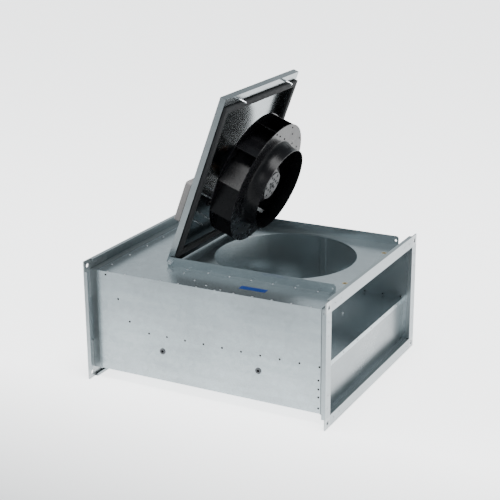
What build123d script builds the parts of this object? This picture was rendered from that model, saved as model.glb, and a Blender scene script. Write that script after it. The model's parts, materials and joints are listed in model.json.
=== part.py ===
from build123d import *

import os
from math import atan2, cos, degrees, pi, radians, sin, sqrt, tan

# Rectangular inline duct fan with a swing-out motor lid.
#
# Millimetres, +Z up, +X towards the outlet.  The origin is at the middle of the footprint, at the
# level of the end flanges' lower edges.  The lid is drawn closed and then swung open about its
# pivots, so every lid and rotor part is written in closed-lid coordinates.

# ---------------------------------------------------------------- driving dimensions
DUCT_W = 600.0            # inside width of the duct the fan fits
DUCT_H = 300.0            # inside height of that duct
LENGTH = 758.0            # flange face to flange face
SHEET = 1.0               # galvanised sheet of the casing
FLANGE = 31.0             # how far the end flanges stand out from the casing

RAIL_SHEET = 1.2          # rolled flange rail
RAIL_DEPTH = 12.0         # outer return of the rail
RAIL_FOOT = 28.0          # leg of the rail that lies on the casing
RAIL_GRIP = 12.0          # leg of the rail inside the duct
RAIL_HOOK = 8.0           # lip that turns back behind the rail face
CORNER_T = 2.5            # pressed corner piece
CORNER_LEG = 84.0         # length of the corner's leg inside a rail
CORNER_HOLE_R = 6.5
CORNER_HOLE = 14.0        # corner hole from the casing's outer faces

SEAM = 8.0                # inward fold along the long edges of the side panels
SEAM_RIVET = 2.8          # rivet line from the panel's inner face
RIVET_R = 1.6
RIVET_HEAD_R = 3.0
RIVET_HEAD_H = 1.1
RIVET_PIT_R = 1.0

SHELF_TOP = 162.0         # upper face of the shelf under the impeller
SHELF_START = -236.5      # where the sloped plate meets the shelf
SLOPE = 59.7              # slope of the upper inlet plate, degrees from level
BLANK_X = 351.0           # outer face of the blanking plate under the outlet
FOLD = 11.0               # side folds of the inner plates

HOLE_X = 73.0             # centre of the service hole and of the closed impeller
HOLE_Y = 57.5
HOLE_R = 210.0
SCROLL_START = 98.0       # angle at which the scroll wall leaves the back panel
SCROLL_GROWTH = 0.59      # growth of its radius, per degree
SCROLL_FOLD = 11.0

HINGE_X = -181.0          # lid pivot
PIVOT_RISE = 13.5         # pivot above the top panel
LID_ANGLE = 69.7          # lid shown open by this angle
LID_REACH = 521.7         # pivot to free edge
LID_BACK = 9.0            # pivot to hinge-side edge
LID_HALF_W = 230.4
LID_OUT = 14.1            # pivot level to the lid's outer face
LID_RIM = 4.1             # pivot level down to the lid's rim
LID_SHEET = 1.2
RIM_FOLD = 18.0
GASKET_W = 19.0
GASKET_GAP = 0.3          # foam stays this far from the top panel when closed
SCREW_U = 507.0           # lid screws from the pivot
SCREW_Y = 146.4
SCREW_R = 3.0
SCREW_BELOW = 25.0        # screw length below the rim

RAIL_Y = 236.6            # outer face of the lid rails from the lid's middle
ANGLE_T = 2.0
ANGLE_H = 27.5
ANGLE_FOOT = 16.0         # foot of the front lid rail
ANGLE_END = 9.0           # end hole and pivot from the ends of a lid rail
PIVOT_R = 4.0
PIVOT_FIT = 0.05

ROTOR_BACK = -38.0        # impeller back plate, its lid side, below the pivot level
WHEEL_R = 188.7
PLATE_R = 190.4
WHEEL_T = 1.2
RING_LEVEL = -111.0       # flat of the impeller's front ring
EYE_R = 125.0
EYE_LEVEL = -155.0
BLADES = 11
BLADE_LINE = 141.9        # distance of each straight blade from the shaft
BLADE_OUT = 123.0         # blade from its nearest point to the trailing edge
BLADE_IN = 34.0           # and on to the leading edge
BLADE_PHASE = 15.2        # trailing edge of the first blade, degrees
TAB = 11.0
CONE_TOP_R = 117.0        # inlet cone, inside, at its top
CONE_BASE_R = 160.0
CONE_LAP = 2.5            # the cone enters the impeller eye by this much
CAN_R = 60.0              # external rotor
CAN_WALL = 5.0
CAN_FACE = -126.0
CAN_MOUTH = -20.0
SHAFT_R = 6.0
BEARING_R = 13.0
SHAFT_FIT = 0.05

BOX_U0, BOX_U1 = 78.0, 208.0      # terminal box along the lid
BOX_Y0, BOX_Y1 = -150.0, -56.0    # and across it, from the lid's middle
BOX_H = 56.0
BOX_WALL = 2.6
BOX_SPLIT = 36.0

# ---------------------------------------------------------------- derived places
CASE_W = DUCT_W + 2 * SHEET
CASE_H = DUCT_H + 2 * SHEET
HALF_L = LENGTH / 2
HALF_W = CASE_W / 2
IN_Y = DUCT_W / 2
BOTTOM = FLANGE
FLOOR = BOTTOM + SHEET
TOP = BOTTOM + CASE_H
CEILING = TOP - SHEET
PANEL_END = HALF_L - RAIL_SHEET
PIVOT_Z = TOP + PIVOT_RISE
SHAFT_U = HOLE_X - HINGE_X
SLOPE_RUN = (CEILING - SHELF_TOP) / tan(radians(SLOPE))
SLOPE_TOP_X = SHELF_START - SLOPE_RUN


# ---------------------------------------------------------------- shape helpers
def block(x0, x1, y0, y1, z0, z1):
    """A box between two corners."""
    size = (x1 - x0, y1 - y0, z1 - z0)
    return Pos((x0 + x1) / 2, (y0 + y1) / 2, (z0 + z1) / 2) * Box(*size)


def rod(radius, x, y, z0, z1):
    """An upright cylinder between two levels."""
    return Pos(x, y, (z0 + z1) / 2) * Cylinder(radius, z1 - z0)


def tube(outer, inner, x, y, z0, z1):
    """An upright tube between two levels."""
    return rod(outer, x, y, z0, z1) - rod(inner, x, y, z0 - 1, z1 + 1)


def cross_rod(radius, x, z, y0, y1):
    """A cylinder along Y between two places."""
    return Pos(x, (y0 + y1) / 2, z) * Rot(90, 0, 0) * Cylinder(radius, y1 - y0)


def long_rod(radius, y, z, x0, x1):
    """A cylinder along X between two places."""
    return Pos((x0 + x1) / 2, y, z) * Rot(0, 90, 0) * Cylinder(radius, x1 - x0)


def side_plate(points, y0, y1):
    """A plate with an outline in the XZ plane, from y0 to y1."""
    face = make_face(Polyline(*[(x, 0, z) for x, z in points], close=True))
    return Pos(0, y0, 0) * extrude(face, amount=y1 - y0, dir=(0, 1, 0))


def turned(points, x, y):
    """A ring with an (r, z) outline turned about an upright axis."""
    face = make_face(Polyline(*[(r, 0, z) for r, z in points], close=True))
    return Pos(x, y, 0) * revolve(face, Axis.Z)


def drilled(shape, tools):
    """The shape with all the tools cut away in one go."""
    tools = list(tools)
    return shape - tools if tools else shape


def rivet(grip):
    """A blind rivet along +Z with its pulled-stem pit: the head on z=0, the shank down the grip."""
    r, head, h = RIVET_R, RIVET_HEAD_R, RIVET_HEAD_H
    tail = 1.5 * r
    pit, deep = RIVET_PIT_R, h - 0.9
    outline = [(0, deep), (pit, deep), (pit, h), (0.55 * head, h), (0.85 * head, 0.6 * h), (head, 0),
               (r, 0), (r, -grip), (tail, -grip), (tail, -grip - 1.6 * r), (0, -grip - 1.6 * r)]
    return turned(outline, 0, 0)


def facing(kind):
    """The rotation that turns +Z to the named outward direction."""
    turns = {"up": (0, 0, 0), "down": (180, 0, 0), "front": (90, 0, 0), "back": (-90, 0, 0),
             "outlet": (0, 90, 0), "inlet": (0, -90, 0)}
    return Rot(*turns[kind])


def opened(shape):
    """Swings a closed-lid shape open about the pivots."""
    return shape.rotate(Axis((HINGE_X, 0, PIVOT_Z), (0, 1, 0)), -LID_ANGLE)


def lid_block(u0, u1, y0, y1, v0, v1):
    """A box in lid coordinates: u from the pivot, y from the lid's middle, v above the pivot."""
    return block(HINGE_X + u0, HINGE_X + u1, HOLE_Y + y0, HOLE_Y + y1, PIVOT_Z + v0, PIVOT_Z + v1)


def lid_rod(radius, u, y, v0, v1):
    """An upright cylinder in lid coordinates."""
    return rod(radius, HINGE_X + u, HOLE_Y + y, PIVOT_Z + v0, PIVOT_Z + v1)


def on_shaft(points):
    """A turned part about the shaft, with its outline in (r, v)."""
    return turned([(r, PIVOT_Z + v) for r, v in points], HOLE_X, HOLE_Y)


def save(name, shapes):
    """Writes one node, as one solid or as a group of separate solids."""
    shapes = list(shapes) if isinstance(shapes, (list, tuple)) else [shapes]
    solids = [s for shape in shapes for s in shape.solids()]
    body = solids[0] if len(solids) == 1 else Compound(children=solids)
    export_step(body, f"parts/{name}.step")


# ---------------------------------------------------------------- fixing places
def side_rivet_places():
    """Rivets (x, z) that hold the inner plates to the side panels."""
    slope = [0.05, 0.45, 0.82]
    dx, dz = SHELF_START - SLOPE_TOP_X, SHELF_TOP - CEILING
    off = FOLD / 2 / sin(radians(SLOPE))
    places = [(SLOPE_TOP_X + off + t * dx, CEILING + t * dz) for t in slope]
    shelf_z = SHELF_TOP + FOLD / 2
    first, last, count = SHELF_START + 52, BLANK_X - 4, 10
    places += [(first + (last - first) * i / (count - 1), shelf_z) for i in range(count)]
    drop = SHELF_TOP - FLOOR
    places += [(BLANK_X - SHEET - FOLD / 2, FLOOR + drop * t) for t in (0.11, 0.36, 0.54, 0.74)]
    return places


def seam_rivet_places():
    """Rivets along X in the long seams."""
    count = 12
    return [-HALF_L + 60 + (LENGTH - 120) * i / (count - 1) for i in range(count)]


def scroll_radius(angle):
    """The scroll wall's radius grows evenly with the angle from where it touches the back panel."""
    first = (IN_Y - HOLE_Y) / sin(radians(SCROLL_START))
    return first + SCROLL_GROWTH * (angle - SCROLL_START)


def scroll_point(angle, out=0.0):
    """A point on the scroll wall's outer face, or further out by the given distance."""
    r = scroll_radius(angle) + out
    return (HOLE_X + r * cos(radians(angle)), HOLE_Y + r * sin(radians(angle)))


def scroll_rivet_places():
    """Rivets through the top panel into the scroll wall's upper fold."""
    angles = [133] + [153 + 12 * i for i in range(6)] + [235, 247, 256, 265]
    return [scroll_point(angle, SCROLL_FOLD / 2 - 1) for angle in angles]


def shelf_rivet_places():
    """The scroll wall's lower rivets, which leave out the stretch over the sloped plate's foot."""
    return [(x, y) for x, y in scroll_rivet_places() if x > SHELF_START + 36]


def lid_rail_rivet_places():
    """Rivets through the front lid rail's foot."""
    y = HOLE_Y - RAIL_Y - ANGLE_FOOT / 2 - 1
    return [(HINGE_X + 62 + 68.0 * i, y) for i in range(7)]


def lid_rail_span():
    """Both ends of a lid rail's foot."""
    return (HINGE_X - ANGLE_END + 12, HINGE_X + SCREW_U + 2 + ANGLE_END - 12)


def cone_screw_places():
    """Screws through the inlet cone's flange into the shelf."""
    r = CONE_BASE_R + 12
    return [(HOLE_X + r * cos(radians(a)), HOLE_Y + r * sin(radians(a))) for a in range(15, 375, 60)]


def insert_places():
    """Threaded inserts (x, z) in each side panel, for hanging the fan."""
    return [(-140.8, BOTTOM + 90), (163.8, BOTTOM + 90)]


def nut_places():
    """Rivet nuts (x, y) in the top panel for the lid screws."""
    return [(HINGE_X + SCREW_U, HOLE_Y + side * SCREW_Y) for side in (-1, 1)]


INSERT_R = 6.5
NUT_R = 5.2


# ---------------------------------------------------------------- casing panels
def side_panel(side):
    """One side of the casing with its two long inward folds.  side is -1 front, +1 back."""
    y_out, y_in = side * HALF_W, side * IN_Y
    y_fold = side * (IN_Y - SEAM)
    web = block(-PANEL_END, PANEL_END, min(y_out, y_in), max(y_out, y_in), FLOOR, CEILING)
    fold_end = HALF_L - RAIL_GRIP - 2
    low, high = min(y_in, y_fold), max(y_in, y_fold)
    web += block(-fold_end, fold_end, low, high, FLOOR, FLOOR + SHEET)
    web += block(-fold_end, fold_end, low, high, CEILING - SHEET, CEILING)
    reach = 3 * SHEET
    holes = [cross_rod(RIVET_R, x, z, y_out - reach, y_out + reach) for x, z in side_rivet_places()]
    holes += [cross_rod(INSERT_R, x, z, y_out - reach, y_out + reach) for x, z in insert_places()]
    y_seam = side * (IN_Y - SEAM_RIVET)
    for x in seam_rivet_places():
        holes.append(rod(RIVET_R, x, y_seam, FLOOR - reach, FLOOR + reach))
        holes.append(rod(RIVET_R, x, y_seam, CEILING - reach, CEILING + reach))
    return drilled(web, holes)


def top_panel():
    """Top of the casing with the big service hole."""
    plate = block(-PANEL_END, PANEL_END, -HALF_W, HALF_W, CEILING, TOP)
    low, high = CEILING - 1, TOP + 1
    holes = [rod(HOLE_R, HOLE_X, HOLE_Y, low, high)]
    for side in (-1, 1):
        y = side * (IN_Y - SEAM_RIVET)
        holes += [rod(RIVET_R, x, y, low, high) for x in seam_rivet_places()]
    holes += [rod(RIVET_R, x, y, low, high) for x, y in scroll_rivet_places()]
    holes += [rod(RIVET_R, x, y, low, high) for x, y in lid_rail_rivet_places()]
    holes += [rod(NUT_R, x, y, low, high) for x, y in nut_places()]
    holes += [rod(RIVET_R, SLOPE_TOP_X - 6, y, low, high) for y in slope_tab_rivets()]
    return drilled(plate, holes)


def bottom_panel():
    """Bottom of the casing."""
    plate = block(-PANEL_END, PANEL_END, -HALF_W, HALF_W, BOTTOM, FLOOR)
    low, high = BOTTOM - 1, FLOOR + 1
    holes = []
    for side in (-1, 1):
        y = side * (IN_Y - SEAM_RIVET)
        holes += [rod(RIVET_R, x, y, low, high) for x in seam_rivet_places()]
    holes += [rod(RIVET_R, BLANK_X - SHEET - 7, y, low, high) for y in blank_foot_rivets()]
    return drilled(plate, holes)


# ---------------------------------------------------------------- inner plates
def slope_tab_rivets():
    """Rivets along Y in the sloped plate's top tab."""
    return [-240 + 96 * i for i in range(6)]


def shelf_joint_rivets():
    """Rivets along Y where the sloped plate's foot meets the shelf."""
    return [-250 + 100 * i for i in range(6)]


def blank_foot_rivets():
    """Rivets along Y in the blanking plate's foot."""
    return [-250 + 100 * i for i in range(6)]


def inlet_slope_plate():
    """Sloped plate that closes the upper half of the inlet and leads the air down to the shelf."""
    angle = radians(SLOPE)
    thick = SHEET / sin(angle)
    cut = (CEILING - SHEET - SHELF_TOP + 2 * SHEET) / tan(angle)
    low_z, high_z = SHELF_TOP - 2 * SHEET, CEILING - SHEET
    x_low = SHELF_START + 2 * SHEET / tan(angle)
    outline = [(x_low - thick, low_z), (x_low, low_z), (x_low - cut, high_z),
               (x_low - cut - thick, high_z)]
    plate = side_plate(outline, -IN_Y, IN_Y)
    tab_half = IN_Y - SEAM - 3
    x_tab = x_low - cut
    plate += block(x_tab - 13, x_tab, -tab_half, tab_half, high_z, CEILING)
    plate += block(x_low - thick, SHELF_START + 20, -IN_Y, IN_Y, low_z, low_z + SHEET)
    fold_low, fold_high = SHELF_TOP + FOLD + 4, CEILING - SHEET - 3
    shift = (fold_low - low_z) / tan(angle)
    rise = (fold_high - fold_low) / tan(angle)
    wide = FOLD / sin(angle)
    fold = [(x_low - shift, fold_low), (x_low - shift + wide, fold_low),
            (x_low - shift - rise + wide, fold_high), (x_low - shift - rise, fold_high)]
    plate += side_plate(fold, -IN_Y, -IN_Y + SHEET)
    plate += side_plate(fold, IN_Y - SHEET, IN_Y)
    holes = [cross_rod(RIVET_R, x, z, -IN_Y - 1, IN_Y + 1) for x, z in side_rivet_places()[:3]]
    holes += [rod(RIVET_R, SLOPE_TOP_X - 6, y, high_z - 1, CEILING + 1) for y in slope_tab_rivets()]
    holes += [rod(RIVET_R, SHELF_START + 11, y, low_z - 1, SHELF_TOP) for y in shelf_joint_rivets()]
    return drilled(plate, holes)


def shelf_plate():
    """Level shelf under the impeller, with its round opening and upturned side folds."""
    z0, z1 = SHELF_TOP - SHEET, SHELF_TOP
    plate = block(SHELF_START + 1, BLANK_X + SHEET, -IN_Y, IN_Y, z0, z1)
    plate += block(BLANK_X, BLANK_X + SHEET, -IN_Y, IN_Y, z1 - 14, z0)
    start, end = SHELF_START + 26, BLANK_X
    for y in (-IN_Y, IN_Y - SHEET):
        plate += block(start, end, y, y + SHEET, z1, z1 + FOLD)
    holes = [rod(CONE_BASE_R + 1, HOLE_X, HOLE_Y, z0 - 1, z1 + 1)]
    holes += [rod(RIVET_R, x, y, z0 - 1, z1 + 1) for x, y in cone_screw_places()]
    holes += [rod(RIVET_R, x, y, z0 - 1, z1 + 1) for x, y in shelf_rivet_places()]
    holes += [rod(RIVET_R, SHELF_START + 11, y, z0 - 1, z1 + 1) for y in shelf_joint_rivets()]
    shelf_rivets = side_rivet_places()[3:13]
    holes += [cross_rod(RIVET_R, x, z, -IN_Y - 1, -IN_Y + 2) for x, z in shelf_rivets]
    holes += [cross_rod(RIVET_R, x, z, IN_Y - 2, IN_Y + 1) for x, z in shelf_rivets]
    holes += [long_rod(RIVET_R, y, z1 - 8, BLANK_X - 2, BLANK_X + 3) for y in blank_foot_rivets()]
    return drilled(plate, holes)


def blanking_plate():
    """Upright plate that closes the lower half of the outlet."""
    x0, x1 = BLANK_X - SHEET, BLANK_X
    z1 = SHELF_TOP - SHEET
    notch = FLOOR + 2 * SHEET
    plate = block(x0, x1, -IN_Y, IN_Y, notch, z1)
    inner = IN_Y - SEAM - 1
    plate += block(x0, x1, -inner, inner, FLOOR, notch)
    plate += block(x0 - 14, x0, -inner, inner, FLOOR, FLOOR + SHEET)
    for y in (-IN_Y, IN_Y - SHEET):
        plate += block(x0 - FOLD, x0, y, y + SHEET, notch + 2, z1 - 3)
    places = side_rivet_places()[13:]
    holes = [cross_rod(RIVET_R, x, z, -IN_Y - 1, IN_Y + 1) for x, z in places]
    holes += [rod(RIVET_R, x0 - 7, y, FLOOR - 1, FLOOR + 2) for y in blank_foot_rivets()]
    holes += [long_rod(RIVET_R, y, SHELF_TOP - 8, x0 - 2, x1 + 3) for y in blank_foot_rivets()]
    return drilled(plate, holes)


def scroll_wall():
    """Curved wall round the impeller: flat on the back panel, a spiral, then straight to the front."""
    z0, z1 = SHELF_TOP, CEILING
    reach, last = 270.0, scroll_radius(270.0)
    drop = SCROLL_GROWTH * 180 / pi / last
    x_land = HOLE_X + (IN_Y + HOLE_Y - last) / drop

    def curve(inset, first, final):
        count = 24
        angles = [first + (final - first) * i / count for i in range(count + 1)]
        return Spline(*[scroll_point(angle, -inset) for angle in angles])

    def band(near, far, first, final, low, high):
        one, two = curve(near, first, final), curve(far, first, final)
        face = make_face(Wire([one, Line(one @ 1, two @ 1), two, Line(two @ 0, one @ 0)]))
        return Pos(0, 0, low) * extrude(face, amount=high - low, dir=(0, 0, 1))

    wall = band(0.0, SHEET, SCROLL_START, reach, z0, z1)
    x_leave = scroll_point(SCROLL_START)[0]
    wall += block(x_leave - 0.5, HOLE_X + 22, IN_Y - SHEET, IN_Y, z0, z1)
    hem = [(HOLE_X + 1, IN_Y - SHEET), (HOLE_X + 4.5, IN_Y - SHEET - 3),
           (HOLE_X + 22, IN_Y - SHEET - 3), (HOLE_X + 22, IN_Y - SHEET)]
    wall += Pos(0, 0, z0) * extrude(make_face(Polyline(*hem, close=True)), amount=z1 - z0, dir=(0, 0, 1))
    y_turn = HOLE_Y - last
    run = [(HOLE_X, y_turn), (x_land, -IN_Y), (x_land + 22, -IN_Y), (x_land + 22, -IN_Y + SHEET),
           (x_land, -IN_Y + SHEET), (HOLE_X, y_turn + SHEET)]
    face = make_face(Polyline(*run, close=True))
    wall += Pos(0, 0, z0) * extrude(face, amount=z1 - z0, dir=(0, 0, 1))
    wall += band(-SCROLL_FOLD, 0.2, 123, 268, z1 - SHEET, z1)
    for first, final in ((123, 165), (208, 268)):
        wall += band(-SCROLL_FOLD, 0.2, first, final, z0, z0 + SHEET)
    deep = 4.0
    for y in (-IN_Y, IN_Y - deep):
        wall -= block(-HALF_L, HALF_L, y, y + deep, z0 - 1, z0 + FOLD + 1)
    for y in (-IN_Y - 1, IN_Y - SEAM - 0.5):
        wall -= block(-HALF_L, HALF_L, y, y + SEAM + 1.5, z1 - SHEET - 3, z1 + 1)
    holes = [rod(RIVET_R, x, y, z1 - 3, z1 + 1) for x, y in scroll_rivet_places()]
    holes += [rod(RIVET_R, x, y, z0 - 1, z0 + 3) for x, y in shelf_rivet_places()]
    return drilled(wall, holes)


def inlet_cone():
    """Bell-mouthed inlet cone on the shelf; its narrow end just enters the impeller's eye."""
    top = PIVOT_Z + EYE_LEVEL + CONE_LAP
    wall = 1.2
    flange_r = CONE_BASE_R + 22
    foot = SHELF_TOP + wall
    bell_r, straight = CONE_BASE_R - CONE_TOP_R, 6.0
    rise = top - straight - foot
    steps = 10
    turns = [radians(90 * i / steps) for i in range(steps + 1)]
    inner = [(CONE_BASE_R - bell_r * sin(a), SHELF_TOP + (rise + wall) * (1 - cos(a))) for a in turns]
    outer = [(r + wall * sin(a), z + wall * cos(a)) for a, (r, z) in zip(turns, inner)]
    outline = [(flange_r, SHELF_TOP)] + inner + [(CONE_TOP_R, top), (CONE_TOP_R + wall, top)]
    outline += list(reversed(outer)) + [(flange_r, foot)]
    ring = turned(outline, HOLE_X, HOLE_Y)
    holes = [rod(RIVET_R, x, y, SHELF_TOP - 1, foot + 1) for x, y in cone_screw_places()]
    return drilled(ring, holes)


# ---------------------------------------------------------------- end flanges
def rail_outline():
    """Rolled rail section: a is outward from the casing, b is inward from the flange face."""
    t, out, hook = RAIL_SHEET, FLANGE, RAIL_HOOK
    return [(0, 0), (out, 0), (out, RAIL_DEPTH), (out - hook, RAIL_DEPTH), (out - hook, RAIL_DEPTH - t),
            (out - t, RAIL_DEPTH - t), (out - t, t), (t, t), (t, RAIL_FOOT - t), (t + 2, RAIL_FOOT - t),
            (t + 2, RAIL_FOOT), (0, RAIL_FOOT)]


def flange_rail(where, end):
    """One rail of an end flange.  where is top, bottom, front or back; end is -1 inlet, +1 outlet."""
    across = where in ("top", "bottom")
    sign = 1 if where in ("top", "back") else -1
    middle = (BOTTOM + TOP) / 2
    surface = (TOP - middle) if across else HALF_W
    half = HALF_W if across else CASE_H / 2
    base = middle if across else 0.0
    grip = SHEET + RAIL_SHEET

    def piece(outline, half_length):
        shape = []
        for a, b in outline:
            x = end * (HALF_L - b)
            level = base + sign * (surface + a)
            shape.append((x, 0, level) if across else (x, level, middle))
        face = make_face(Polyline(*shape, close=True))
        way = (0, 1, 0) if across else (0, 0, 1)
        shift = Pos(0, -half_length, 0) if across else Pos(0, 0, -half_length)
        return shift * extrude(face, amount=2 * half_length, dir=way)

    rail = piece(rail_outline(), half)
    inner_half = half if across else half - grip
    rail += piece([(-grip, 0), (0, 0), (0, RAIL_SHEET), (-grip, RAIL_SHEET)], inner_half)
    grip_leg = [(-grip, RAIL_SHEET), (-SHEET, RAIL_SHEET), (-SHEET, RAIL_GRIP), (-grip, RAIL_GRIP)]
    rail += piece(grip_leg, half - grip - 2)
    holes = []
    for along in rail_rivet_steps():
        for flip in (-1, 1):
            place = flip * (half - along)
            level = base + sign * (surface + FLANGE / 2 - 1.5)
            y, z = (place, level) if across else (level, middle + place)
            holes.append(long_rod(RIVET_R, y, z, end * HALF_L - 3, end * HALF_L + 3))
    return drilled(rail, holes)


def rail_rivet_steps():
    """Rivets from a rail's end that hold it to the corner piece's leg."""
    return [27.0, 66.0]


def corner_piece(end, side, level):
    """Pressed corner: a square plate with the bolt hole, and a leg inside each rail."""
    sy, sz = side, level
    y0 = sy * HALF_W
    z0 = (TOP if sz > 0 else BOTTOM)
    b0, b1 = RAIL_SHEET, RAIL_SHEET + CORNER_T
    xa, xb = sorted((end * (HALF_L - b0), end * (HALF_L - b1)))
    face_a, face_b = sorted((end * HALF_L, end * (HALF_L - b1)))
    low, high = 2.0, FLANGE - RAIL_SHEET

    def span(p, q, sign):
        return sorted((p, p + sign * q))

    def box_at(ys, zs, x0, x1):
        return block(x0, x1, ys[0], ys[1], zs[0], zs[1])

    plate = box_at(span(y0, FLANGE, sy), span(z0, FLANGE, sz), face_a, face_b)
    leg_z = sorted((z0 + sz * low, z0 + sz * high))
    leg_y = sorted((y0 + sy * low, y0 + sy * high))
    plate += box_at(span(y0, CORNER_LEG, -sy), leg_z, xa, xb)
    plate += box_at(leg_y, span(z0, CORNER_LEG, -sz), xa, xb)
    hole_y, hole_z = y0 + sy * CORNER_HOLE, z0 + sz * CORNER_HOLE
    holes = [long_rod(CORNER_HOLE_R, hole_y, hole_z, end * HALF_L - 6, end * HALF_L + 6)]
    mid = FLANGE / 2 - 1.5
    for along in rail_rivet_steps():
        holes.append(long_rod(RIVET_R, y0 - sy * along, z0 + sz * mid, end * HALF_L - 6, end * HALF_L + 6))
        holes.append(long_rod(RIVET_R, y0 + sy * mid, z0 - sz * along, end * HALF_L - 6, end * HALF_L + 6))
    return drilled(plate, holes)


def flange_rivets(end):
    """Rivets from the flange face through the rails into the corner legs."""
    turn = facing("outlet" if end > 0 else "inlet")
    mid = FLANGE / 2 - 1.5
    grip = RAIL_SHEET + CORNER_T
    out = []
    for sy in (-1, 1):
        for sz in (-1, 1):
            z0 = TOP if sz > 0 else BOTTOM
            for along in rail_rivet_steps():
                out.append(Pos(end * HALF_L, sy * (HALF_W - along), z0 + sz * mid) * turn * rivet(grip))
                out.append(Pos(end * HALF_L, sy * (HALF_W + mid), z0 - sz * along) * turn * rivet(grip))
    return out


# ---------------------------------------------------------------- casing fixings
def side_rivets(side):
    """Rivets that hold the inner plates to one side panel."""
    kind = "front" if side < 0 else "back"
    return [Pos(x, side * HALF_W, z) * facing(kind) * rivet(2 * SHEET) for x, z in side_rivet_places()]


def seam_rivets():
    """Rivets along the four long seams; some of the back ones also hold the back lid rail."""
    out = []
    foot0, foot1 = lid_rail_span()
    for side in (-1, 1):
        y = side * (IN_Y - SEAM_RIVET)
        for x in seam_rivet_places():
            extra = ANGLE_T if side > 0 and foot0 < x < foot1 else 0.0
            out.append(Pos(x, y, TOP + extra) * facing("up") * rivet(2 * SHEET + extra))
            out.append(Pos(x, y, BOTTOM) * facing("down") * rivet(2 * SHEET))
    return out


def scroll_rivets():
    """Rivets that hold the scroll wall to the top panel and to the shelf."""
    out = [Pos(x, y, TOP) * rivet(2 * SHEET) for x, y in scroll_rivet_places()]
    below = SHELF_TOP - SHEET
    out += [Pos(x, y, below) * facing("down") * rivet(2 * SHEET) for x, y in shelf_rivet_places()]
    return out


def plate_rivets():
    """Rivets of the sloped plate, the shelf joint and the blanking plate."""
    out = [Pos(SLOPE_TOP_X - 6, y, TOP) * rivet(2 * SHEET) for y in slope_tab_rivets()]
    out += [Pos(SHELF_START + 11, y, SHELF_TOP) * rivet(2 * SHEET) for y in shelf_joint_rivets()]
    x_foot = BLANK_X - SHEET - 7
    out += [Pos(x_foot, y, BOTTOM) * facing("down") * rivet(2 * SHEET) for y in blank_foot_rivets()]
    x_lip = BLANK_X + SHEET
    out += [Pos(x_lip, y, SHELF_TOP - 8) * facing("outlet") * rivet(2 * SHEET)
            for y in blank_foot_rivets()]
    return out


def cone_screws():
    """Pan head screws that hold the inlet cone to the shelf."""
    top = SHELF_TOP + 1.2
    shape = [(0, 2.2), (3.4, 2.2), (4.2, 1.2), (4.2, 0), (RIVET_R, 0), (RIVET_R, -6), (0, -7)]
    slot = block(-3, 3, -0.5, 0.5, 1.4, 3)
    screw = turned(shape, 0, 0) - slot
    return [Pos(x, y, top) * screw for x, y in cone_screw_places()]


def suspension_inserts():
    """Threaded inserts in the side panels."""
    shape = [(4.0, 1.5), (9.0, 1.5), (9.0, 0), (INSERT_R, 0), (INSERT_R, -14), (4.0, -14)]
    insert = turned(shape, 0, 0)
    out = []
    for side, kind in ((-1, "front"), (1, "back")):
        out += [Pos(x, side * HALF_W, z) * facing(kind) * insert for x, z in insert_places()]
    return out


def lid_screw_nuts():
    """Rivet nuts in the top panel that take the lid screws."""
    bore = SCREW_R + 1.1
    shape = [(bore, 0.2), (8.0, 0.2), (8.0, 0), (NUT_R, 0), (NUT_R, -SHEET), (NUT_R + 1.2, -SHEET),
             (NUT_R + 1.2, -SHEET - 2.5), (NUT_R, -SHEET - 4), (NUT_R, -15), (bore, -15)]
    nut = turned(shape, 0, 0)
    return [Pos(x, y, TOP) * nut for x, y in nut_places()]


def lid_rail(side):
    """Upright angle beside the lid: rounded ends, a pivot hole, an end hole and an outward foot."""
    y_out = HOLE_Y + side * RAIL_Y
    y_in = y_out - side * ANGLE_T
    y_foot = y_out - ANGLE_FOOT if side < 0 else HALF_W
    x0 = HINGE_X - ANGLE_END
    x1 = HINGE_X + SCREW_U + 2 + ANGLE_END
    ya, yb = sorted((y_out, y_in))
    web = block(x0, x1, ya, yb, TOP, TOP + ANGLE_H)
    long_edges = web.edges().filter_by(Axis.Y).group_by(Axis.Z)[-1]
    web = fillet(long_edges, ANGLE_END - 0.5)
    fa, fb = sorted((y_out, y_foot))
    foot0, foot1 = lid_rail_span()
    angle = web + block(foot0, foot1, fa, fb, TOP, TOP + ANGLE_T)
    holes = [cross_rod(PIVOT_R, HINGE_X, PIVOT_Z, ya - 2, yb + 2)]
    holes.append(cross_rod(3.2, x1 - ANGLE_END, PIVOT_Z, ya - 2, yb + 2))
    places = [(x, IN_Y - SEAM_RIVET) for x in seam_rivet_places() if foot0 < x < foot1]
    places = lid_rail_rivet_places() if side < 0 else places
    holes += [rod(RIVET_R, x, y, TOP - 1, TOP + ANGLE_T + 1) for x, y in places]
    return drilled(angle, holes)


def lid_rail_rivets():
    """Rivets through the lid rails' feet."""
    grip = SHEET + ANGLE_T
    return [Pos(x, y, TOP + ANGLE_T) * rivet(grip) for x, y in lid_rail_rivet_places()]


def hexagon(across, z0, z1):
    """A hexagonal prism along Z."""
    return Pos(0, 0, z0) * extrude(RegularPolygon(across / sqrt(3), 6), amount=z1 - z0)


def pivot_bolt(side):
    """Hexagon bolt along Y through a lid rail and the lid's side wall."""
    y_out = HOLE_Y + side * RAIL_Y
    kind = "front" if side < 0 else "back"
    inner = RAIL_Y - LID_HALF_W + LID_SHEET + 9
    bolt = hexagon(13.0, 0, 5.3) + rod(PIVOT_R, 0, 0, -inner, 0)
    return Pos(HINGE_X, y_out, PIVOT_Z) * facing(kind) * bolt


def pivot_spacers():
    """Washers between each lid rail and the lid."""
    gap = RAIL_Y - ANGLE_T - LID_HALF_W
    out = []
    for side, kind in ((-1, "front"), (1, "back")):
        y = HOLE_Y + side * (RAIL_Y - ANGLE_T)
        washer = tube(8.0, PIVOT_R, 0, 0, -(gap - 0.4), 0)
        out.append(Pos(HINGE_X, y, PIVOT_Z) * facing(kind) * washer)
    return out


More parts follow.
